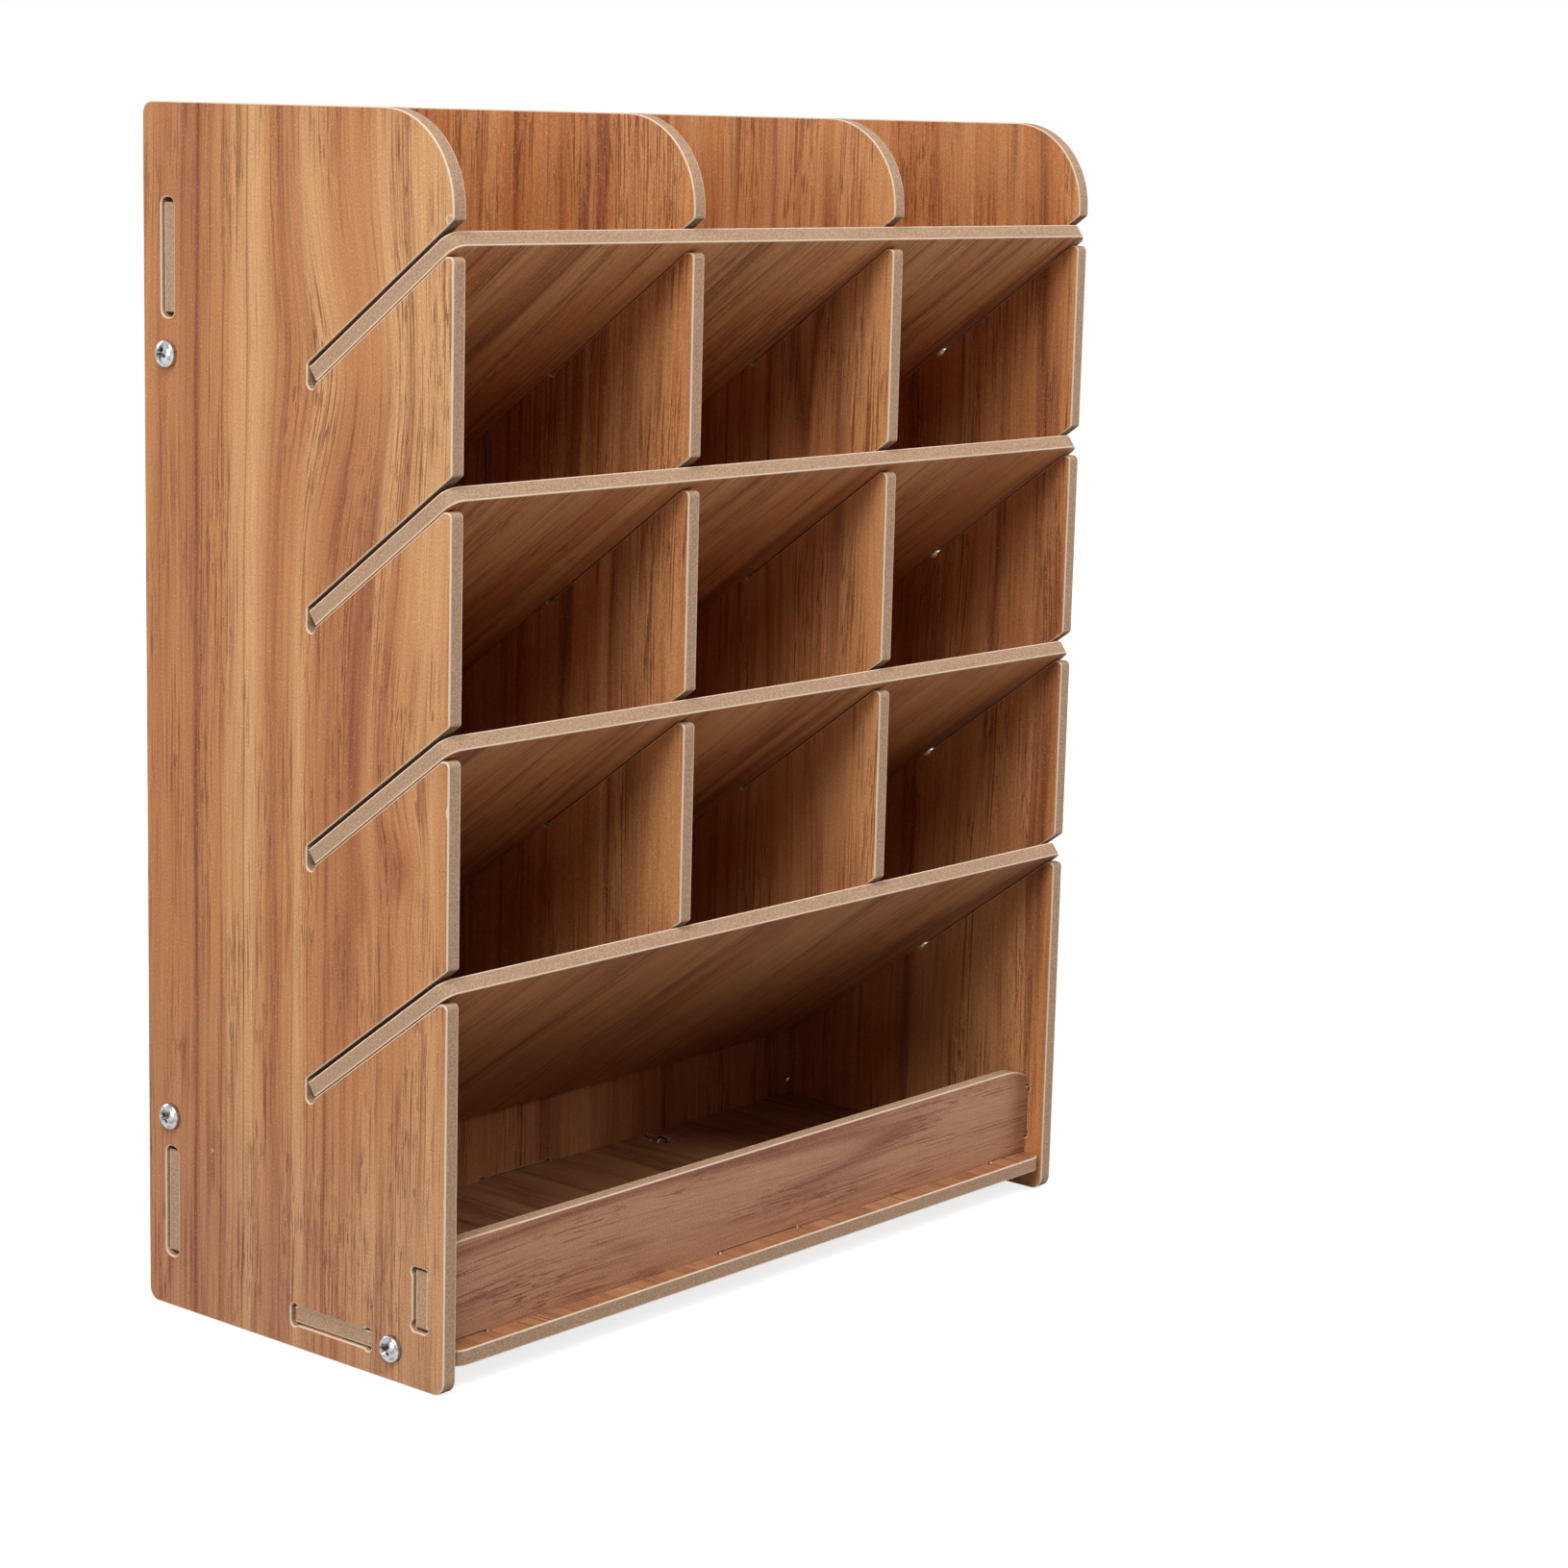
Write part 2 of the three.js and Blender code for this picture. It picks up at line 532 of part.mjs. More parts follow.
// A screw through a board's outer face with its nut, named after the same place. Its direction is the
// way that it points, and the roll turns the nut's flats parallel to the slotted board's faces.
function addFastener(place, head, direction, roll) {
  const facing = new THREE.Quaternion().setFromUnitVectors(new THREE.Vector3(0, 0, 1), direction);
  const turned = facing.multiply(new THREE.Quaternion().setFromAxisAngle(new THREE.Vector3(0, 0, 1), roll));
  for (const piece of [
    add(`${place}_screw`, screwGeometry(), plated),
    add(`${place}_nut`, nutGeometry(), plated),
  ]) {
    piece.position.copy(head);
    piece.quaternion.copy(turned);
  }
}

const backMiddleY = backY - BACK_INSET - boardMiddle;
const bottomMiddleZ = BOTTOM_HEIGHT + boardMiddle;
for (const [side, sign] of [["left", -1], ["right", 1]]) {
  const inward = new THREE.Vector3(-sign, 0, 0);
  const at = (y, z) => new THREE.Vector3(sign * outerX, y, z);
  addFastener(`${side}_upper`, at(backMiddleY, upperScrewHeight), inward, 0);
  addFastener(`${side}_lower`, at(backMiddleY, lowerScrewHeight), inward, 0);
  addFastener(`${side}_front`, at(backY - bottomScrewDepth, bottomMiddleZ), inward, Math.PI / 2);
  const rear = new THREE.Vector3(sign * BACK_SCREW_OFFSET, backY - BACK_INSET, bottomMiddleZ);
  addFastener(`${side}_rear`, rear, new THREE.Vector3(0, -1, 0), 0);
}

export default organizer;
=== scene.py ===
"""The looks of the slotted desk organizer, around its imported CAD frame. Metres, front towards -Y, +Z up."""
import math

import bmesh
import bpy
from mathutils import Matrix, Vector


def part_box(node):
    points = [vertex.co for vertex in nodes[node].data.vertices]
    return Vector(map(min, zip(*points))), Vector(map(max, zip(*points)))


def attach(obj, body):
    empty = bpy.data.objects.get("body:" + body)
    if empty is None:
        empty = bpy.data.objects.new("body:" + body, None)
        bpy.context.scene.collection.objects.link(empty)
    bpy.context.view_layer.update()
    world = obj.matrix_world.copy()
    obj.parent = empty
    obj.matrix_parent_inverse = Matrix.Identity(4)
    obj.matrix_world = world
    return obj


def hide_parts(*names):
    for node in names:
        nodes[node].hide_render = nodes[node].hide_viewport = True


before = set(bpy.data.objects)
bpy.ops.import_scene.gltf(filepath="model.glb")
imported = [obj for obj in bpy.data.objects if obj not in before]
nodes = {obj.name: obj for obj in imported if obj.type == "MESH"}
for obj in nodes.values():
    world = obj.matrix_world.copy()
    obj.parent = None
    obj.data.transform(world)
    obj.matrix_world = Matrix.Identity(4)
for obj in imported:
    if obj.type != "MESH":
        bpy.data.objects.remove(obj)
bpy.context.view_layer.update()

MM = 0.001
TO_MM = 1 / MM
SHELF_SLOPE = math.radians(36)

# Directions. The shelves slope down towards the back.
RIGHT = Vector((1, 0, 0))
DEEP = Vector((0, 1, 0))
UP = Vector((0, 0, 1))
DOWN_SLOPE = Vector((0, math.cos(SHELF_SLOPE), -math.sin(SHELF_SLOPE)))
SHELF_NORMAL = Vector((0, math.sin(SHELF_SLOPE), math.cos(SHELF_SLOPE)))


def srgb(red, green, blue):
    """A colour written in 8-bit sRGB, as linear RGBA."""
    def linear(value):
        value /= 255
        return value / 12.92 if value <= 0.04045 else ((value + 0.055) / 1.055) ** 2.4
    return (linear(red), linear(green), linear(blue), 1.0)


# Colours of the wood print, the cut edges and the plating
WOOD_LIGHT = srgb(210, 158, 107)
WOOD_MID = srgb(190, 129, 80)
WOOD_RED = srgb(168, 104, 63)
WOOD_PINK = srgb(178, 129, 102)
WOOD_WARM = srgb(196, 116, 62)
WOOD_STREAK = srgb(120, 58, 34)
WOOD_PORE = srgb(104, 54, 30)
# Pale speck colour of the painted glints
WOOD_SPECK = srgb(226, 180, 134)
CORE_BASE = srgb(194, 160, 131)
CORE_DARK = srgb(160, 128, 102)
CORE_PALE = srgb(214, 186, 160)
RIM_PALE = srgb(238, 212, 186)
ZINC = srgb(186, 188, 191)
ZINC_WARM = srgb(150, 150, 144)
ZINC_DARK = srgb(84, 86, 84)

# Noises of the print: sizes in millimetres across and along the grain, offset, detail and roughness
PATTERNS = {
    "wander": (60, 260, 0.0, 1.0, 0.5),
    "ripple": (14, 60, 4.1, 2.0, 0.5),
    "broad_tone": (22, 700, 11.0, 1.0, 0.5),
    "narrow_tone": (5, 420, 17.0, 3.0, 0.65),
    "streaks": (17, 500, 31.0, 1.0, 0.5),
    "streak_areas": (19, 240, 37.0, 2.0, 0.5),
    "streak_wear": (1.6, 55, 41.0, 2.0, 0.5),
    "fibres": (0.7, 20, 0.0, 3.0, 0.65),
    "crowds": (8, 60, 61.0, 1.5, 0.5),
    "hairs": (4.5, 320, 91.0, 1.0, 0.5),
    "hair_lengths": (4, 70, 81.0, 2.0, 0.5),
    "thin_lines": (0.62, 45, 43.0, 1.0, 0.5),
    "pores": (0.48, 8, 53.0, 1.0, 0.5),
    "grit": (0.45, 0.6, 0.0, 1.0, 0.5),
    "painted_glint": (0.5, 0.6, 71.0, 0.0, 0.5),
}

# Smooth steps: the values where each starts and ends, and what it gives at either end
STEPS = {
    "red_to_mid": (0.0, 0.55, 0.0, 1.0),
    "mid_to_light": (0.45, 1.0, 0.0, 1.0),
    "streak_wear": (0.30, 0.60, 0.65, 1.1),
    "hair_lengths": (0.42, 0.62, 0.0, 0.85),
    "hairs_by_crowd": (0.38, 0.58, 0.2, 1.0),
    "thin_lines_by_crowd": (0.40, 0.58, 0.15, 1.0),
    "pores_by_crowd": (0.46, 0.66, 0.06, 1.0),
    "dashes": (0.58, 0.62, 0.0, 1.0),
    "painted_glint": (0.64, 0.80, 0.0, 1.0),
    "core_mat": (0.34, 0.66, 0.0, 1.0),
    "core_flakes": (0.58, 0.74, 0.0, 0.5),
    "painted_shade_facing_down": (-0.72, -0.45, 0.42, 1.0),
    "rim_by_depth": (0.20, 0.60, 0.8, 0.0),
    "chip": (0.85, 1.0, 0.0, 1.0),
    "rim_at_chip": (0.35, 0.65, 0.2, 1.0),
    "face": (0.90, 0.97, 0.0, 1.0),
    "off_face": (0.90, 0.97, 1.0, 0.0),
    "off_core": (0.06, 0.2, 0.0, 1.0),
    "dull_painted_reflection": (0.44, 0.56, 0.0, 1.0),
    "dark_painted_reflection": (0.58, 0.66, 0.0, 0.9),
    "dark_pits": (0.60, 0.75, 0.0, 0.4),
    "rough_pits": (0.3, 0.75, 0.12, 0.30),
}
STREAK_AREA_EDGE = (0.44, 0.58)
STREAK_SHARPNESS = 22.0
HAIR_SHARPNESS = 13.0

# Wood print: reach and middle in millimetres, shares of the colours, and factor and offset of the shades
RIPPLE_REACH = 1.6
LEAN_MIDDLE = 167
STREAK_SHARE = 0.85
THIN_SHARE = 0.68
PORE_SHARE = 0.70
PAINTED_GLINT_SHARE = 0.30
FIBRE_SHADE = (0.60, 0.67)
GRIT_SHADE = (0.70, -0.35)
FACE_OFFSET = 17.3
BOARD_OFFSET = 5.7

# Bare fibreboard: fineness of its patterns per millimetre, and factor and offset of its layers' shade
MAT_FINENESS = 1.7
FLAKE_FINENESS = 4.4
LAYER_FINENESS = 1.3
LAYER_STRETCH = 0.05
LAYER_SHADE = (0.24, 0.88)
CHIP_RAGGEDNESS = 1.1

# Relief of the boards, and their roughness, on a face as factor and offset
CUT_RELIEF = -0.7
GRIT_RELIEF = 0.6
FIBRE_RELIEF = 0.35
CORE_RELIEF = 1.6
BOARD_BUMP = {"Strength": 0.5, "Distance": 0.14 * MM}
TONE_GLOSS = -0.25
FACE_ROUGHNESS = (0.16, 0.46)
CORE_ROUGHNESS = 0.86
BOARD_SPECULAR = 0.3

# The figure of a plain board, parts of which a board's own figure replaces
PLAIN_FIGURE = {"wander": 18.0, "lean": 0.0, "own_tone": (1.5, 1.5), "loose_streaks": 0.9, "warm": 0.0,
                "pink": 0.0, "gain": 1.0}


class Graph:
    """The shader nodes of one material. The methods return output sockets, and finish the material."""

    def __init__(self, name):
        self.material = bpy.data.materials.new(name)
        self.material.use_nodes = True
        self.tree = self.material.node_tree
        self.tree.nodes.clear()

    def add(self, kind, inputs=None, output=0, **settings):
        """A new node, with inputs that are values or the outputs of other nodes."""
        node = self.tree.nodes.new("ShaderNode" + kind)
        for key, value in settings.items():
            setattr(node, key, value)
        for key, value in (inputs or {}).items():
            socket = node.inputs[key]
            if isinstance(value, bpy.types.NodeSocket):
                self.tree.links.new(value, socket)
            else:
                socket.default_value = value
        return node.outputs[output]

    def math(self, operation, *values, clamp=False):
        return self.add("Math", dict(enumerate(values)), operation=operation, use_clamp=clamp)

    def scaled(self, value, factor, offset=0.0):
        return self.math("MULTIPLY_ADD", value, factor, offset)

    def dot(self, vector, axis):
        return self.add("VectorMath", {0: vector, 1: axis}, output="Value", operation="DOT_PRODUCT")

    def vector(self, x, y, z):
        return self.add("CombineXYZ", {0: x, 1: y, 2: z})

    def noise(self, x, y, z, detail=2.0, roughness=0.5):
        settings = {"Vector": self.vector(x, y, z), "Scale": 1.0, "Detail": detail, "Roughness": roughness}
        return self.add("TexNoise", settings)

    def step(self, value, low, high, out_low=0.0, out_high=1.0):
        """A smooth step from out_low to out_high as the value goes from low to high."""
        limits = {"Value": value, 1: low, 2: high, 3: out_low, 4: out_high}
        return self.add("MapRange", limits, interpolation_type="SMOOTHSTEP")

    def mix(self, factor, first, second):
        inputs = {"Factor": factor, 6: first, 7: second}
        return self.add("Mix", inputs, output=2, data_type="RGBA", blend_type="MIX")

    def tint(self, colour, value):
        """The colour times a value."""
        grey = self.add("CombineColor", {0: value, 1: value, 2: value})
        inputs = {"Factor": 1.0, 6: colour, 7: grey}
        return self.add("Mix", inputs, output=2, data_type="RGBA", blend_type="MULTIPLY")

    def finish(self, shader):
        output = self.tree.nodes.new("ShaderNodeOutputMaterial")
        self.tree.links.new(shader, output.inputs["Surface"])
        return self.material


def extent(node, axis):
    """Lowest and highest place of a CAD node along an axis."""
    places = [vertex.co.dot(axis) for vertex in nodes[node].data.vertices]
    return min(places), max(places)


def board_material(name, thickness, grain, across, seed, figure):
    """Printed wood on both faces of a board and bare fibreboard on its cut edges.

    The figure says what sets the board apart. For both faces it holds how far the grain wanders in
    millimetres and how much it leans, the weights of the broad and narrow tones, how strong the loose streaks
    are, shares of a warm tint and a pink tone, and the gain in lightness; on the inner boards the warm tint
    is painted shade, and gains above and below one are painted light and painted shade. pink_foot holds the
    heights between which the pink goes from one share to another; on the left panel that pink is painted
    light from the floor. For the face that looks towards the negative thickness axis it also holds marks, in
    millimetres across and along the grain: bands and streaks (place, half width, strength), blotches, short
    streaks, crowds of fine lines and bulges of the grain (place, height, half width, half length, strength),
    and chips in the print (place, height, half width, half length). On the other uprights and the top shelf
    the blotches are painted light.
    """
    figure = {**PLAIN_FIGURE, **figure}
    g = Graph(name + "_wood")
    position = g.add("TexCoord", output="Object")
    normal = g.add("NewGeometry", output="True Normal")
    low, high = extent(name, thickness)

    # Places across the grain, along it and through the board, in millimetres
    a = g.scaled(g.dot(position, across), TO_MM)
    l = g.scaled(g.dot(position, grain), TO_MM)
    w = g.scaled(g.dot(position, thickness), TO_MM, -(low + high) / 2 * TO_MM)
    facing = g.dot(normal, thickness)
    flatness = g.math("ABSOLUTE", facing)
    front = g.math("GREATER_THAN", 0.0, facing)  # one on the face towards the negative axis
    face_seed = g.scaled(front, FACE_OFFSET, seed * BOARD_OFFSET)

    def pattern(kind, place):
        """A noise of the table at a place across the grain, another one on each board and face."""
        width, length, offset, detail, roughness = PATTERNS[kind]
        own_seed = g.scaled(face_seed, 1.0, offset) if offset else face_seed
        return g.noise(g.scaled(place, 1 / width), g.scaled(l, 1 / length), own_seed, detail, roughness)

    def dashes(kind):
        """Dashes where a noise is high."""
        return g.step(pattern(kind, u), *STEPS["dashes"])

    def lines(kind, sharpness):
        """Long thin lines where a noise crosses its middle value."""
        away = g.math("ABSOLUTE", g.scaled(pattern(kind, u), sharpness, -sharpness / 2))
        return g.math("SUBTRACT", 1.0, away, clamp=True)

    def bell(value, place, half):
        """A soft hill, one at its place."""
        gap = g.math("POWER", g.scaled(value, 1 / half, -place / half), 2.0)
        return g.math("EXPONENT", g.scaled(gap, -1.0))

    def strip(place, half):
        """A soft strip along the whole grain of the front face."""
        return g.math("MULTIPLY", bell(u, place, half), front)

    def spot(x, place, height, half_across, half_along):
        """A soft spot on the front face."""
        area = g.math("MULTIPLY", bell(x, place, half_across), bell(l, height, half_along))
        return g.math("MULTIPLY", area, front)

    # Places across the grain that follow it as it wanders, leans, bulges and ripples
    bent = g.math("ADD", a, g.scaled(pattern("wander", a), figure["wander"], -figure["wander"] / 2))
    if figure["lean"]:
        bent = g.math("ADD", bent, g.scaled(l, figure["lean"], -figure["lean"] * LEAN_MIDDLE))
    for *area, amount in figure.get("bulges", ()):
        bent = g.math("MULTIPLY_ADD", spot(a, *area), amount, bent)
    u = g.math("ADD", bent, g.scaled(pattern("ripple", a), RIPPLE_REACH, -RIPPLE_REACH / 2))

    # Broad and narrow tones, with the bands and blotches
    broad, narrow = figure["own_tone"]
    tone = g.math("ADD", g.scaled(pattern("broad_tone", bent), broad, 0.5 - broad / 2),
                  g.scaled(pattern("narrow_tone", u), narrow, -narrow / 2))
    for *area, strength in figure.get("bands", ()):
        tone = g.math("MULTIPLY_ADD", strip(*area), strength, tone)
    for *area, strength in figure.get("blotches", ()):
        tone = g.math("MULTIPLY_ADD", spot(u, *area), strength, tone)
    tone = g.math("MULTIPLY", tone, 1.0, clamp=True)

    # Dark streaks
    shown = g.step(pattern("streak_areas", bent), *STREAK_AREA_EDGE, 0.0, figure["loose_streaks"])
    streak = g.math("MULTIPLY", lines("streaks", STREAK_SHARPNESS), shown)
    for *area, strength in figure.get("streaks", ()):
        streak = g.math("MULTIPLY_ADD", strip(*area), strength, streak)
    for *area, strength in figure.get("short_streaks", ()):
        streak = g.math("MULTIPLY_ADD", spot(u, *area), strength, streak)
    streak = g.math("MULTIPLY", streak, g.step(pattern("streak_wear", u), *STEPS["streak_wear"]))
    streak = g.math("MULTIPLY", streak, 1.0, clamp=True)

    # Fine lines and pores in crowds, fibres, grit and fine painted glints, pale specks in the colour
    fibre = pattern("fibres", u)
    crowd = pattern("crowds", bent)
    for *area, amount in figure.get("crowds", ()):
        crowd = g.math("MULTIPLY_ADD", spot(a, *area), amount, crowd)
    seen = g.step(pattern("hair_lengths", u), *STEPS["hair_lengths"])
    hair = g.math("MULTIPLY", lines("hairs", HAIR_SHARPNESS), seen)
    hair = g.math("MULTIPLY", hair, g.step(crowd, *STEPS["hairs_by_crowd"]))
    thin = g.math("MULTIPLY", dashes("thin_lines"), g.step(crowd, *STEPS["thin_lines_by_crowd"]))
    thin = g.math("MAXIMUM", thin, hair)
    pore = g.math("MULTIPLY", dashes("pores"), g.step(crowd, *STEPS["pores_by_crowd"]))
    grit = pattern("grit", a)
    painted_glint = g.step(pattern("painted_glint", a), *STEPS["painted_glint"])

    wood = g.mix(g.step(tone, *STEPS["red_to_mid"]), WOOD_RED, WOOD_MID)
    wood = g.mix(g.step(tone, *STEPS["mid_to_light"]), wood, WOOD_LIGHT)
    pink = g.step(l, *figure["pink_foot"]) if "pink_foot" in figure else figure["pink"]
    wood = g.mix(pink, wood, WOOD_PINK)
    wood = g.mix(figure["warm"], wood, WOOD_WARM)
    wood = g.mix(g.scaled(streak, STREAK_SHARE), wood, WOOD_STREAK)
    wood = g.mix(g.scaled(thin, THIN_SHARE), wood, WOOD_STREAK)
    wood = g.mix(g.scaled(pore, PORE_SHARE), wood, WOOD_PORE)
    wood = g.mix(g.scaled(painted_glint, PAINTED_GLINT_SHARE), wood, WOOD_SPECK)
    shade = g.math("ADD", g.scaled(fibre, *FIBRE_SHADE), g.scaled(grit, *GRIT_SHADE))
    wood = g.tint(wood, g.scaled(shade, figure["gain"]))

    # Bare fibreboard: fine fibres, darker where it faces down by painted shade, and paler at the two rims
    # under the print
    places = [g.scaled(g.dot(position, axis), TO_MM) for axis in (RIGHT, DEEP, UP)]
    mat = g.noise(*(g.scaled(place, MAT_FINENESS) for place in places), detail=3.0, roughness=0.65)
    flake = g.noise(*(g.scaled(place, FLAKE_FINENESS) for place in places), detail=1.0)
    layer = g.noise(g.scaled(w, LAYER_FINENESS), g.scaled(a, LAYER_STRETCH), g.scaled(l, LAYER_STRETCH))
    core = g.mix(g.step(mat, *STEPS["core_mat"]), CORE_DARK, CORE_BASE)
    core = g.mix(g.step(flake, *STEPS["core_flakes"]), core, CORE_PALE)
    # Painted shade: the cut faces that face down are darkened.
    painted_shade_facing_down = g.step(g.dot(normal, UP), *STEPS["painted_shade_facing_down"])
    core = g.tint(core, g.math("MULTIPLY", g.scaled(layer, *LAYER_SHADE), painted_shade_facing_down))
    depth_in = g.math("SUBTRACT", (high - low) / 2 * TO_MM, g.math("ABSOLUTE", w))
    rim = g.step(depth_in, *STEPS["rim_by_depth"])

    # The print ends at the eased edges and at the ragged outlines of the chips.
    on_face = g.step(flatness, *STEPS["face"])
    for place, height, half_across, half_along in figure.get("chips", ()):
        ragged = g.scaled(g.math("SUBTRACT", mat, 0.5), CHIP_RAGGEDNESS)
        gap_a = g.math("POWER", g.scaled(a, 1 / half_across, -place / half_across), 2.0)
        gap_l = g.math("POWER", g.scaled(l, 1 / half_along, -height / half_along), 2.0)
        gap = g.math("ADD", g.math("ADD", gap_a, gap_l), ragged)
        rim = g.math("MULTIPLY", rim, g.step(gap, *STEPS["rim_at_chip"]))
        whole = g.math("MAXIMUM", g.step(gap, *STEPS["chip"]), g.math("SUBTRACT", 1.0, front))
        on_face = g.math("MULTIPLY", on_face, whole)
    core = g.mix(rim, core, RIM_PALE)
    on_ease = g.math("MULTIPLY", g.step(flatness, *STEPS["off_core"]), g.step(flatness, *STEPS["off_face"]))
    colour = g.mix(on_face, g.mix(on_ease, core, RIM_PALE), wood)

    ground = g.math("ADD", g.scaled(grit, GRIT_RELIEF), g.scaled(fibre, FIBRE_RELIEF))
    face_height = g.math("ADD", g.scaled(g.math("MAXIMUM", pore, thin), CUT_RELIEF), ground)
    heights = {"Factor": on_face, 2: g.scaled(mat, CORE_RELIEF), 3: face_height}
    bump = g.add("Bump", {**BOARD_BUMP, "Height": g.add("Mix", heights, data_type="FLOAT")})
    polish = g.scaled(g.math("ADD", grit, g.scaled(tone, TONE_GLOSS)), *FACE_ROUGHNESS)
    roughness = g.add("Mix", {"Factor": on_face, 2: CORE_ROUGHNESS, 3: polish}, data_type="FLOAT")
    inputs = {"Base Color": colour, "Roughness": roughness, "Specular IOR Level": BOARD_SPECULAR,
              "Normal": bump}
    return g.finish(g.add("BsdfPrincipled", inputs))


WELD_DISTANCE = 0.005 * MM
FLAT_ANGLE = math.radians(0.5)
EASE_WIDTH = 0.35 * MM
EASE_ANGLE = math.radians(40)


def dress_board(name, material):
    """Puts the material on a CAD board and eases its sharp edges."""
    board = nodes[name]
    board.data.materials.clear()
    board.data.materials.append(material)
    weld = board.modifiers.new("weld", "WELD")
    weld.merge_threshold = WELD_DISTANCE
    flat = board.modifiers.new("flat", "DECIMATE")
    flat.decimate_type = "DISSOLVE"
    flat.angle_limit = FLAT_ANGLE
    ease = board.modifiers.new("ease", "BEVEL")
    ease.width = EASE_WIDTH
    ease.segments = 2
    ease.use_clamp_overlap = False
    ease.loop_slide = False
    ease.limit_method = "ANGLE"
    ease.angle_limit = EASE_ANGLE
    smooth = board.modifiers.new("smooth", "WEIGHTED_NORMAL")
    smooth.keep_sharp = True
    smooth.weight = 100


back_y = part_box("left_side_panel")[1].y / MM


def at_depth(depth):
    """The place along Y, in millimetres, of a depth in front of the panels' back edges."""
    return back_y - depth


# The main marks of the photographed left panel
LEFT_PANEL = {
    "wander": 3.0,
    "lean": 0.0085,
    "own_tone": (0.5, 0.7),
    "loose_streaks": 0.3,
    "streaks": [
        (at_depth(6.0), 0.8, 0.18), (at_depth(14.8), 0.35, 0.30), (at_depth(17.0), 0.35, 0.25),
        (at_depth(26.2), 0.3, 0.25), (at_depth(21.2), 0.95, 0.95), (at_depth(31.5), 0.4, 0.60),
        (at_depth(33.4), 0.35, 0.25), (at_depth(40.6), 0.35, 0.70), (at_depth(49.6), 0.3, 0.30),
        (at_depth(52.5), 0.9, 0.28), (at_depth(55.5), 0.35, 0.35), (at_depth(65), 0.3, 0.25),
    ],
    "short_streaks": [
        (at_depth(73.0), 60.0, 0.8, 80.0, 0.85), (at_depth(73.4), 160.0, 0.9, 32.0, 0.70),
        (at_depth(83.0), 178.0, 1.5, 36.0, 0.65), (at_depth(87.5), 222.0, 1.8, 24.0, 0.55),
        (at_depth(78.0), 112.0, 2.2, 18.0, 0.40), (at_depth(77.0), 150.0, 0.4, 40.0, 0.40),
        (at_depth(60.0), 90.0, 0.4, 60.0, 0.45), (at_depth(66.5), 32.0, 1.0, 34.0, 0.60),
        (at_depth(36.5), 90.0, 0.35, 80.0, 0.50), (at_depth(97.4), 300.0, 0.35, 48.0, 0.75),
        (at_depth(99.0), 295.0, 0.40, 55.0, 0.85), (at_depth(100.6), 280.0, 0.35, 45.0, 0.75),
        (at_depth(102.0), 300.0, 0.35, 30.0, 0.60), (at_depth(95.0), 320.0, 0.35, 24.0, 0.55),
        (at_depth(38.0), 322.0, 1.2, 14.0, 0.40), (at_depth(99.0), 210.0, 0.8, 22.0, 0.35),
    ],
    "bands": [
        (at_depth(8), 7.0, -0.15), (at_depth(21), 4.0, -0.28), (at_depth(36), 3.0, 0.20),
        (at_depth(43), 4.5, 0.48), (at_depth(53), 3.5, -0.34), (at_depth(63), 4.0, 0.30),
        (at_depth(80), 8.0, -0.22), (at_depth(112), 8.0, 0.28),
    ],
    "blotches": [
        (at_depth(101), 141.0, 5.0, 8.0, -0.55), (at_depth(88), 131.0, 3.0, 8.0, -0.45),
        (at_depth(70), 240.0, 12.0, 30.0, -0.25), (at_depth(85), 175.0, 5.0, 45.0, -0.30),
        (at_depth(95), 290.0, 27.0, 75.0, 0.50), (at_depth(100), 25.0, 32.0, 40.0, 0.45),
    ],
    "crowds": [
        (at_depth(102), 285.0, 4.0, 50.0, 0.16), (at_depth(37), 320.0, 3.5, 18.0, 0.22),
        (at_depth(66), 110.0, 3.5, 70.0, 0.20), (at_depth(78), 170.0, 5.0, 22.0, 0.18),
        (at_depth(98), 178.0, 6.0, 16.0, 0.20), (at_depth(103), 60.0, 9.0, 50.0, 0.12),
        (at_depth(88), 228.0, 5.0, 20.0, 0.25), (at_depth(45), 250.0, 6.0, 60.0, -0.20),
        (at_depth(83), 305.0, 12.0, 40.0, -0.14), (at_depth(30), 210.0, 3.0, 40.0, 0.15),
    ],
    "bulges": [
        (at_depth(80), 268.0, 24.0, 34.0, 10.0), (at_depth(101), 141.0, 9.0, 12.0, 3.0),
        (at_depth(98), 165.0, 14.0, 40.0, -5.0),
    ],
    # Painted light from the floor: the panel turns pinker towards its foot.
    "pink_foot": (15.0, 110.0, 0.4, 0.0),
    "chips": [
        (at_depth(117.3), 307.8, 1.6, 1.4), (at_depth(119.0), 157.3, 1.4, 2.3),
        (at_depth(118.8), 53.5, 0.9, 1.6), (at_depth(27), 49.0, 0.45, 0.5),
    ],
}

# Painted light: the other uprights are paler towards their front edges, and the top shelf all over its
# underside. The warm tint of the inner boards is painted shade, and their gains above one are painted light.
INNER_BOARD = {"warm": 0.3}
INNER_UPRIGHT = {"warm": 0.35, "gain": 1.06, "blotches": [(at_depth(104), 170.0, 30.0, 400.0, 0.45)]}
TOP_SHELF = {"warm": 0.3, "gain": 1.1, "blotches": [(0.0, 0.0, 400.0, 4000.0, 0.35)]}

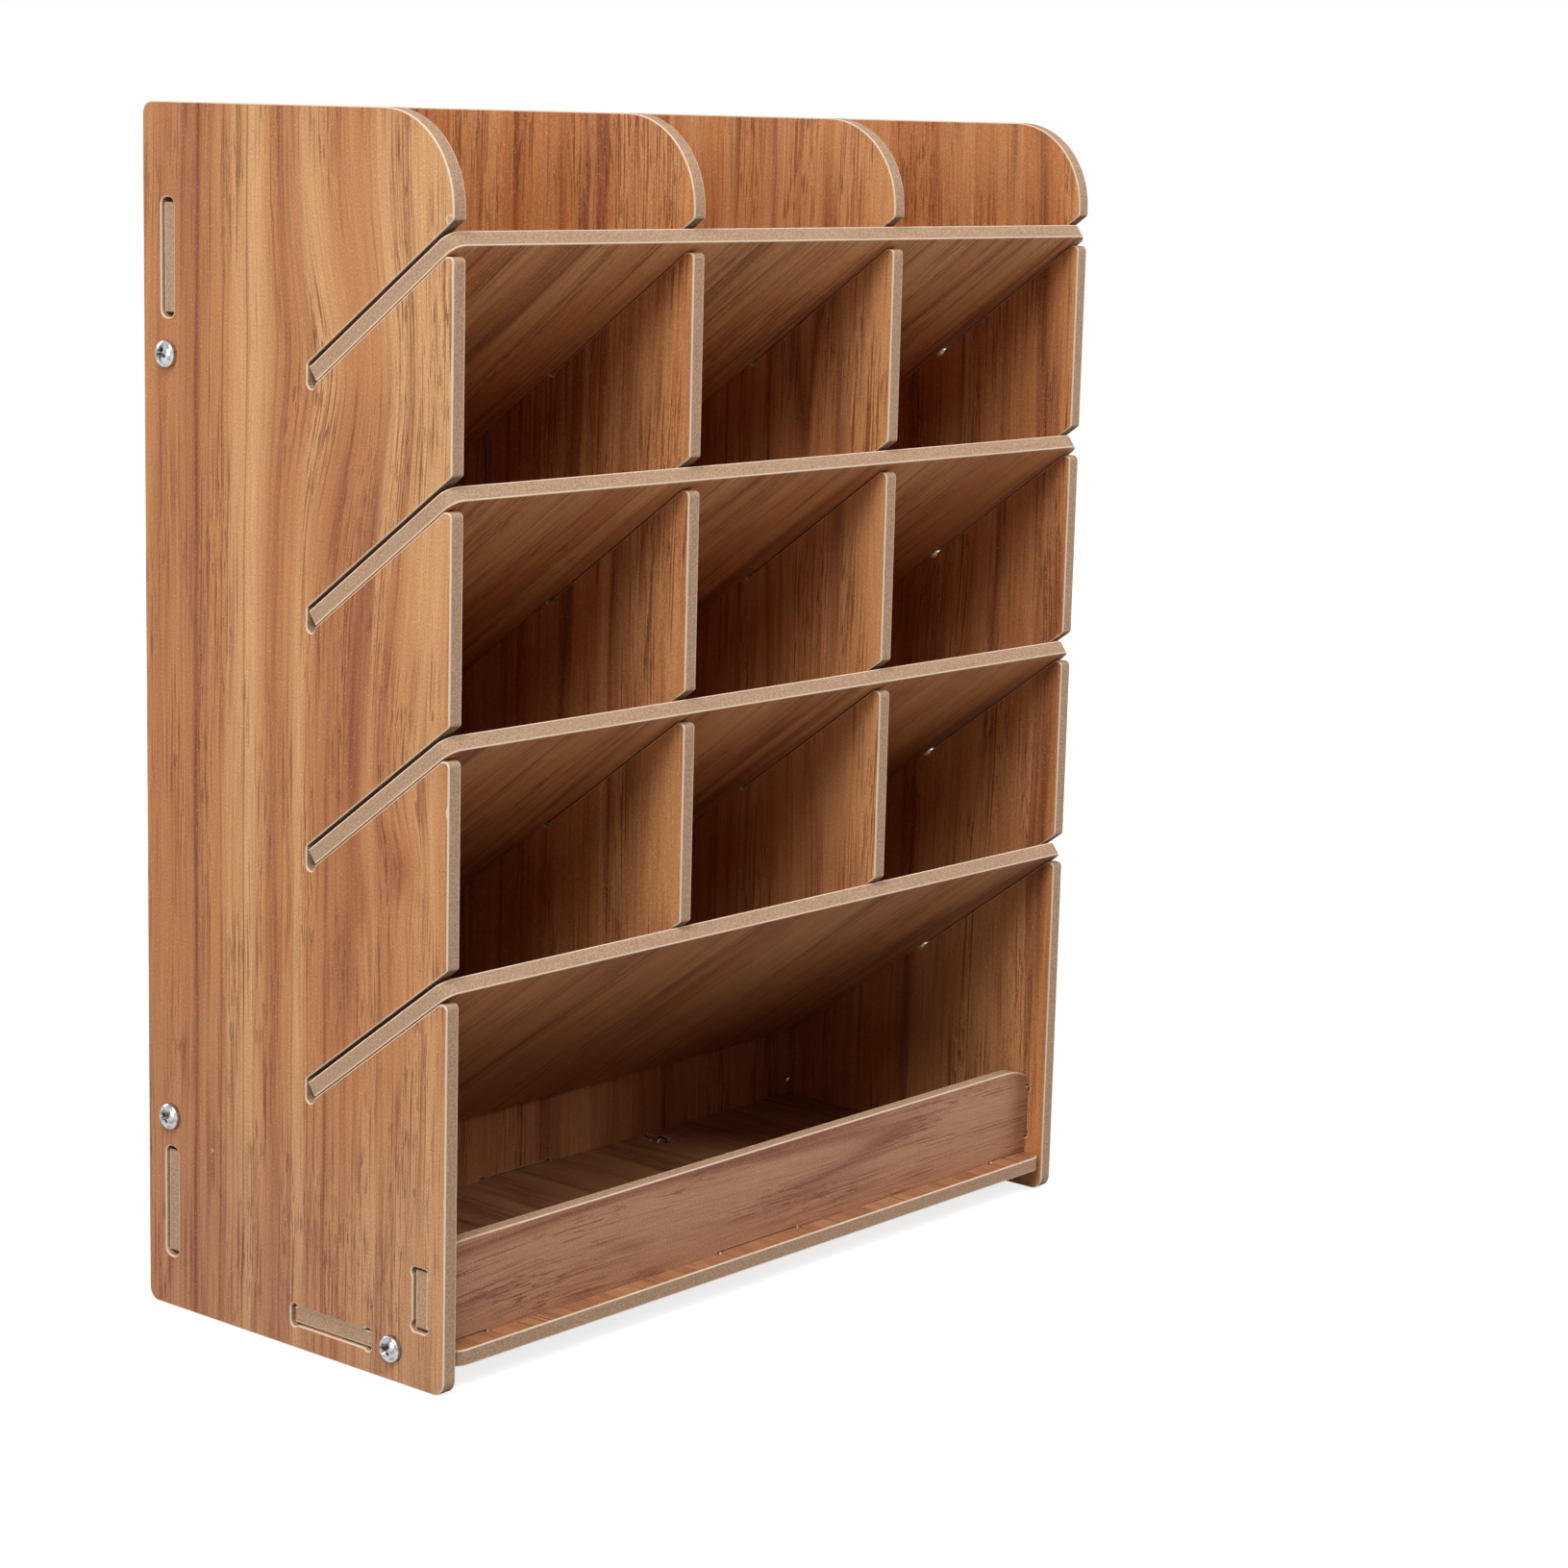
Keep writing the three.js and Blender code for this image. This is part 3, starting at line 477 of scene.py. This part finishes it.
# For each board the axes of its thickness, along its grain and across it, and its figure
BOARDS = {
    "left_side_panel": (RIGHT, UP, DEEP, LEFT_PANEL),
    "right_side_panel": (RIGHT, UP, DEEP, INNER_UPRIGHT),
    "left_divider": (RIGHT, UP, DEEP, INNER_UPRIGHT),
    "right_divider": (RIGHT, UP, DEEP, INNER_UPRIGHT),
    "back_panel": (DEEP, UP, RIGHT, INNER_BOARD),
    "shelf_1": (SHELF_NORMAL, DOWN_SLOPE, RIGHT, TOP_SHELF),
    "shelf_2": (SHELF_NORMAL, DOWN_SLOPE, RIGHT, INNER_BOARD),
    # Painted shade: gains below one darken the lower shelves and the bottom panel.
    "shelf_3": (SHELF_NORMAL, DOWN_SLOPE, RIGHT, {**INNER_BOARD, "gain": 0.92}),
    "shelf_4": (SHELF_NORMAL, DOWN_SLOPE, RIGHT, {**INNER_BOARD, "gain": 0.75}),
    "bottom_panel": (UP, DEEP, RIGHT, {"pink": 0.35, "gain": 0.8}),
    "front_lip": (DEEP, RIGHT, UP, {"pink": 0.8}),
}
for seed, (name, (thickness, grain, across, figure)) in enumerate(BOARDS.items(), 1):
    dress_board(name, board_material(name, thickness, grain, across, seed, figure))


# Fasteners, in millimetres. Their axes run along +Z. A screw's head ends at Z zero, and a nut starts there.
HEAD_RADIUS = 3.75
HEAD_HEIGHT = 2.7
HEAD_EDGE = 1.0
HEAD_FOOT = ((0.0, -0.35), (0.08, -0.12), (0.25, 0.0))  # inset from the radius, and height
HEAD_STEPS = 48
DOME_STEPS = 14
RECESS_TOP = (2.3, 0.6)  # reach and half width of the cross's arms
RECESS_FOOT = (0.8, 0.32)
RECESS_DEPTH = 1.8
RECESS_OVERSHOOT = 0.4
ARM_ROUNDING = 0.6
SCREW_LENGTH = 16
SCREW_RADIUS = 1.5
SHANK_OVERLAP = 0.2
THREAD_PITCH = 0.5
THREAD_DEPTH = 0.3
THREAD_SAMPLES = 6
THREAD_STEPS = 20
TIP_CHAMFER = 0.6
NUT_HALF_FLATS = 2.75
NUT_HEIGHT = 2.4
NUT_CHAMFER = 0.45
NUT_FACE_INSET = 0.05
NUT_BORE_SHARE = 0.6
NUT_MOUTH = 0.15
CHAMFER_MARGIN = 0.2
BORE_MARGIN = 0.1
SHARP_ANGLE = math.radians(35)

# Zinc plating
PIT_SCALE = 1500.0
# The mottles of the plating are painted dark reflections; their noise also gives its relief.
MOTTLE_SCALE = 420.0
MOTTLE_BUMP = {"Strength": 0.2, "Distance": 0.05 * MM}
# Painted shade in the screw's cross recess and the nut's bore
RECESS_SHADE = 0.75
RECESS_SHADE_DEPTHS = (0.4, 1.0)
RECESS_SHADE_EDGE = 0.2
RECESS_SHADE_METAL_LOSS = 0.6


def metal_material(name, seed):
    """Bright zinc plating with mottles of painted dark reflection, fine pits, and painted shade that makes
    the screw's recess and the nut's bore darker and less metallic.
    """
    g = Graph(name + "_zinc")
    position = g.add("TexCoord", output="Object")
    pits = g.add("TexNoise", {"Vector": position, "Scale": PIT_SCALE, "Detail": 3.0, "Roughness": 0.6})
    reflection_mottle_and_relief = g.add("TexNoise", {"Vector": position, "Scale": MOTTLE_SCALE + seed, "Detail": 1.0})
    # Painted dark reflections, in two steps
    colour = g.mix(g.step(reflection_mottle_and_relief, *STEPS["dull_painted_reflection"]), ZINC, ZINC_WARM)
    colour = g.mix(g.step(reflection_mottle_and_relief, *STEPS["dark_painted_reflection"]), colour, ZINC_DARK)
    colour = g.mix(g.step(pits, *STEPS["dark_pits"]), colour, ZINC_DARK)
    # Painted shade: darker, less metallic colour in the recess below the crown and in the nut's bore.
    heights = [(depth - HEAD_HEIGHT) * MM for depth in RECESS_SHADE_DEPTHS]
    inside = g.step(g.dot(position, UP), *heights)
    beside = g.add("VectorMath", {0: position, 1: (1.0, 1.0, 0.0)}, operation="MULTIPLY")
    radius = g.add("VectorMath", {0: beside}, output="Value", operation="LENGTH")
    reach = RECESS_TOP[0]
    near = g.step(radius, reach * MM, (reach + RECESS_SHADE_EDGE) * MM, RECESS_SHADE, 0.0)
    inside = g.math("MULTIPLY", inside, near)
    colour = g.mix(inside, colour, ZINC_WARM)
    roughness = g.step(pits, *STEPS["rough_pits"])
    bump = g.add("Bump", {**MOTTLE_BUMP, "Height": reflection_mottle_and_relief})
    metallic = g.scaled(inside, -RECESS_SHADE_METAL_LOSS, 1.0)
    inputs = {"Base Color": colour, "Metallic": metallic, "Roughness": roughness, "Normal": bump}
    return g.finish(g.add("BsdfPrincipled", inputs))


def prism(outlines):
    """A closed mesh from outlines, lists of (x, y, height) points, stacked upwards."""
    mesh = bmesh.new()
    loops = [[mesh.verts.new(place) for place in outline] for outline in outlines]
    count = len(loops[0])
    for lower, upper in zip(loops, loops[1:]):
        for step in range(count):
            after = (step + 1) % count
            mesh.faces.new((lower[step], lower[after], upper[after], upper[step]))
    mesh.faces.new(reversed(loops[0]))
    mesh.faces.new(loops[-1])
    return mesh


def ring(radius, height, steps):
    """The outline of a regular polygon around the axis."""
    turns = [2 * math.pi * step / steps for step in range(steps)]
    return [(radius * math.cos(turn), radius * math.sin(turn), height) for turn in turns]


def lathe(rings, steps):
    """A closed mesh from (radius, height) rings."""
    return prism([ring(radius, height, steps) for radius, height in rings])


def data_of(mesh, name):
    """Mesh data with all faces turned outwards. The mesh is used up."""
    bmesh.ops.recalc_face_normals(mesh, faces=mesh.faces)
    data = bpy.data.meshes.new(name)
    mesh.to_mesh(data)
    mesh.free()
    return data


def finished(mesh, name):
    """Mesh data in metres, smooth except at its sharp edges. The mesh is used up."""
    bmesh.ops.scale(mesh, vec=(MM, MM, MM), verts=mesh.verts)
    data = bpy.data.meshes.new(name)
    mesh.to_mesh(data)
    mesh.free()
    data.shade_smooth()
    data.set_sharp_from_angle(angle=SHARP_ANGLE)
    return data


def carved(body, tool, operation):
    """The body after a boolean operation with the tool. Both are mesh data, and both are used up."""
    pair = [bpy.data.objects.new(data.name, data) for data in (body, tool)]
    for piece in pair:
        bpy.context.scene.collection.objects.link(piece)
    cut = pair[0].modifiers.new("cut", "BOOLEAN")
    cut.object = pair[1]
    cut.operation = operation
    cut.solver = "EXACT"
    graph = bpy.context.evaluated_depsgraph_get()
    result = bpy.data.meshes.new_from_object(pair[0].evaluated_get(graph))
    for piece in pair:
        bpy.data.objects.remove(piece)
    return result


def cross_outline(reach, half, height):
    """A cross whose four arms have rounded ends."""
    corners = []
    for quarter in range(4):
        turn = quarter * math.pi / 2
        start = reach - half * ARM_ROUNDING
        flat = half * (1 - ARM_ROUNDING)
        arm = [(half, -half), (start, -half), (reach, -flat), (reach, flat), (start, half)]
        for x, y in arm:
            corners.append((x * math.cos(turn) - y * math.sin(turn),
                            x * math.sin(turn) + y * math.cos(turn), height))
    return corners


def screw_data():
    dome = HEAD_HEIGHT - HEAD_EDGE
    rings = []
    for step in range(1, DOME_STEPS + 1):
        angle = step / DOME_STEPS * math.pi / 2
        rings.append((HEAD_RADIUS * math.sin(angle), -HEAD_EDGE - dome * math.cos(angle)))
    rings += [(HEAD_RADIUS - inset, height) for inset, height in HEAD_FOOT]
    head = data_of(lathe(rings, HEAD_STEPS), "head")
    top = -HEAD_HEIGHT - RECESS_OVERSHOOT
    foot = -HEAD_HEIGHT + RECESS_DEPTH
    recess = prism([cross_outline(*RECESS_TOP, top), cross_outline(*RECESS_FOOT, foot)])
    head = carved(head, data_of(recess, "recess"), "DIFFERENCE")

    # The thread starts inside the head's underside and stops at the chamfered tip.
    reach = SCREW_LENGTH + SHANK_OVERLAP
    samples = int(reach / THREAD_PITCH * THREAD_SAMPLES)
    outlines = []
    for sample in range(samples + 1):
        height = -SHANK_OVERLAP + reach * sample / samples
        outline = []
        for step in range(THREAD_STEPS):
            share = step / THREAD_STEPS
            phase = (height / THREAD_PITCH - share) % 1
            radius = SCREW_RADIUS - THREAD_DEPTH * abs(2 * phase - 1)
            radius = min(radius, SCREW_RADIUS - TIP_CHAMFER + max(SCREW_LENGTH - height, 0.0))
            angle = 2 * math.pi * share
            outline.append((radius * math.cos(angle), radius * math.sin(angle), height))
        outlines.append(outline)
    shank = prism(outlines)
    bmesh.ops.recalc_face_normals(shank, faces=shank.faces)
    shank.from_mesh(head)
    return finished(shank, "screw")


def nut_data():
    corner = NUT_HALF_FLATS / math.cos(math.pi / 6)
    body = data_of(lathe([(corner, 0.0), (corner, NUT_HEIGHT)], 6), "nut")
    small = NUT_HALF_FLATS - NUT_FACE_INSET
    slope = (corner - small) / NUT_CHAMFER
    wide = corner + CHAMFER_MARGIN
    drop = (wide - small) / slope
    rings = [(small, 0.0), (wide, drop), (wide, NUT_HEIGHT - drop), (small, NUT_HEIGHT)]
    body = carved(body, data_of(lathe(rings, HEAD_STEPS), "chamfer"), "INTERSECT")
    bore = SCREW_RADIUS - THREAD_DEPTH * NUT_BORE_SHARE
    mouth = SCREW_RADIUS + NUT_MOUTH
    rise = mouth - bore
    rings = [(mouth + BORE_MARGIN, -BORE_MARGIN), (bore, rise), (bore, NUT_HEIGHT - rise),
             (mouth + BORE_MARGIN, NUT_HEIGHT + BORE_MARGIN)]
    body = carved(body, data_of(lathe(rings, THREAD_STEPS), "bore"), "DIFFERENCE")
    mesh = bmesh.new()
    mesh.from_mesh(body)
    return finished(mesh, "nut")


# For each place the direction, where it isn't inwards, and the turns of the nut and the screw in radians
FASTENERS = {"upper": (None, 0.0, 0.3), "lower": (None, 0.0, 1.15), "front": (None, math.pi / 2, 0.75),
             "rear": (Vector((0, -1, 0)), 0.0, 0.5)}
screw_mesh = screw_data()
nut_mesh = nut_data()
screw_mesh.materials.append(metal_material("screw", 0.0))
nut_mesh.materials.append(metal_material("nut", 40.0))
for side, inward in (("left", RIGHT), ("right", -RIGHT)):
    for place, (direction, roll, twist) in FASTENERS.items():
        direction = direction or inward
        facing = Vector((0, 0, 1)).rotation_difference(direction)
        for kind, data, turn in (("screw", screw_mesh, twist), ("nut", nut_mesh, roll)):
            node = f"{side}_{place}_{kind}"
            low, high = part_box(node)
            half = abs((high - low).dot(direction)) / 2
            start = (low + high) / 2 - direction * half
            if kind == "screw":
                start += direction * HEAD_HEIGHT * MM
            piece = bpy.data.objects.new(f"{side}_{place}_detailed_{kind}", data)
            spin = Matrix.Rotation(turn, 4, "Z")
            piece.matrix_world = Matrix.Translation(start) @ facing.to_matrix().to_4x4() @ spin
            bpy.context.scene.collection.objects.link(piece)
            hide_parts(node)
            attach(piece, "case")


# Floor and backdrop: one pale plane that the camera sees as white
FLOOR_HALF = 4.0
FLOOR_DROP = 0.2 * MM
FLOOR_DARK = srgb(176, 176, 175)
FLOOR_PALE = srgb(182, 182, 181)
FLOOR_GLOW = (0.35, 0.9, 0.80, 1.0)  # from and to these distances in metres, and the levels there


def floor_material():
    """A pale matt floor, lifted towards white for the camera and in reflections only."""
    g = Graph("floor")
    position = g.add("TexCoord", output="Object")
    mottle = g.add("TexNoise", {"Vector": position, "Scale": 3.0, "Detail": 2.0})
    colour = g.mix(mottle, FLOOR_DARK, FLOOR_PALE)
    matt = g.add("BsdfDiffuse", {"Color": colour, "Roughness": 0.4})
    away = g.add("VectorMath", {0: position}, output="Value", operation="LENGTH")
    path = g.tree.nodes.new("ShaderNodeLightPath")
    seen = g.math("MAXIMUM", path.outputs["Is Camera Ray"], path.outputs["Is Glossy Ray"])
    seen = g.math("MAXIMUM", seen, path.outputs["Is Transmission Ray"])
    level = g.step(away, *FLOOR_GLOW)
    glow = g.add("Emission", {"Color": (1.0, 1.0, 1.0, 1.0), "Strength": g.math("MULTIPLY", seen, level)})
    return g.finish(g.add("AddShader", {0: matt, 1: glow}))


floor_mesh = bpy.data.meshes.new("floor")
corners = [(-FLOOR_HALF, -FLOOR_HALF, 0), (FLOOR_HALF, -FLOOR_HALF, 0), (FLOOR_HALF, FLOOR_HALF, 0),
           (-FLOOR_HALF, FLOOR_HALF, 0)]
floor_mesh.from_pydata(corners, [], [(0, 1, 2, 3)])
floor = bpy.data.objects.new("floor", floor_mesh)
floor.location.z = -FLOOR_DROP
bpy.context.scene.collection.objects.link(floor)
floor_mesh.materials.append(floor_material())


# Lights
MIDDLE = Vector((0.0, 0.0, 0.17))
LAMP_DISTANCE = 2.0
WORLD_LIGHT = 0.04


def lamp_at(name, azimuth, elevation, size, power):
    """A soft square lamp aimed at the object's middle. Degrees, from the front towards the left, and up."""
    turn, lift = math.radians(azimuth), math.radians(elevation)
    way = Vector((-math.sin(turn) * math.cos(lift), -math.cos(turn) * math.cos(lift), math.sin(lift)))
    data = bpy.data.lights.new(name, "AREA")
    data.shape = "SQUARE"
    data.size = size
    data.energy = power
    light = bpy.data.objects.new(name, data)
    light.location = MIDDLE + way * LAMP_DISTANCE
    light.rotation_euler = (MIDDLE - light.location).to_track_quat("-Z", "Y").to_euler()
    bpy.context.scene.collection.objects.link(light)


lamp_at("left_front", azimuth=62, elevation=47, size=0.9, power=31.0)
lamp_at("right_front", azimuth=-48, elevation=32, size=0.9, power=22.0)
lamp_at("left_side", azimuth=90, elevation=10, size=0.8, power=10.0)
lamp_at("back", azimuth=175, elevation=25, size=1.0, power=15.0)

# The world gives little light, and the camera and reflections see it white.
world = bpy.data.worlds.new("studio")
bpy.context.scene.world = world
world.use_nodes = True
tree = world.node_tree
tree.nodes.clear()
path = tree.nodes.new("ShaderNodeLightPath")
seen = tree.nodes.new("ShaderNodeMath")
seen.operation = "MAXIMUM"
tree.links.new(path.outputs["Is Camera Ray"], seen.inputs[0])
tree.links.new(path.outputs["Is Glossy Ray"], seen.inputs[1])
strength = tree.nodes.new("ShaderNodeMapRange")
strength.inputs[3].default_value = WORLD_LIGHT
strength.inputs[4].default_value = 1.0
tree.links.new(seen.outputs[0], strength.inputs[0])
backdrop = tree.nodes.new("ShaderNodeBackground")
backdrop.inputs["Color"].default_value = (1.0, 1.0, 1.0, 1.0)
tree.links.new(strength.outputs[0], backdrop.inputs["Strength"])
world_output = tree.nodes.new("ShaderNodeOutputWorld")
tree.links.new(backdrop.outputs[0], world_output.inputs["Surface"])

# Camera, where the photograph's was by the fit of its perspective
SENSOR = 36.0
IMAGE_SIDE = 1631
FOCAL_PIXELS = 3765.8
FAR_CLIP = 50
CAMERA_PLACE = Vector((-0.77834, -0.70896, 0.33506))
CAMERA_RIGHT = Vector((0.64532, -0.76348, 0.02549))
CAMERA_UP = Vector((0.12226, 0.13616, 0.98311))
CAMERA_VIEW = Vector((0.75406, 0.63131, -0.18121))
lens = bpy.data.cameras.new("camera")
lens.sensor_width = SENSOR
lens.lens = FOCAL_PIXELS / IMAGE_SIDE * SENSOR
lens.clip_end = FAR_CLIP
camera = bpy.data.objects.new("camera", lens)
turn = Matrix((CAMERA_RIGHT, CAMERA_UP, -CAMERA_VIEW)).transposed()
camera.matrix_world = Matrix.Translation(CAMERA_PLACE) @ turn.to_4x4()
bpy.context.scene.collection.objects.link(camera)
bpy.context.scene.camera = camera
bpy.context.scene.view_settings.view_transform = "Standard"
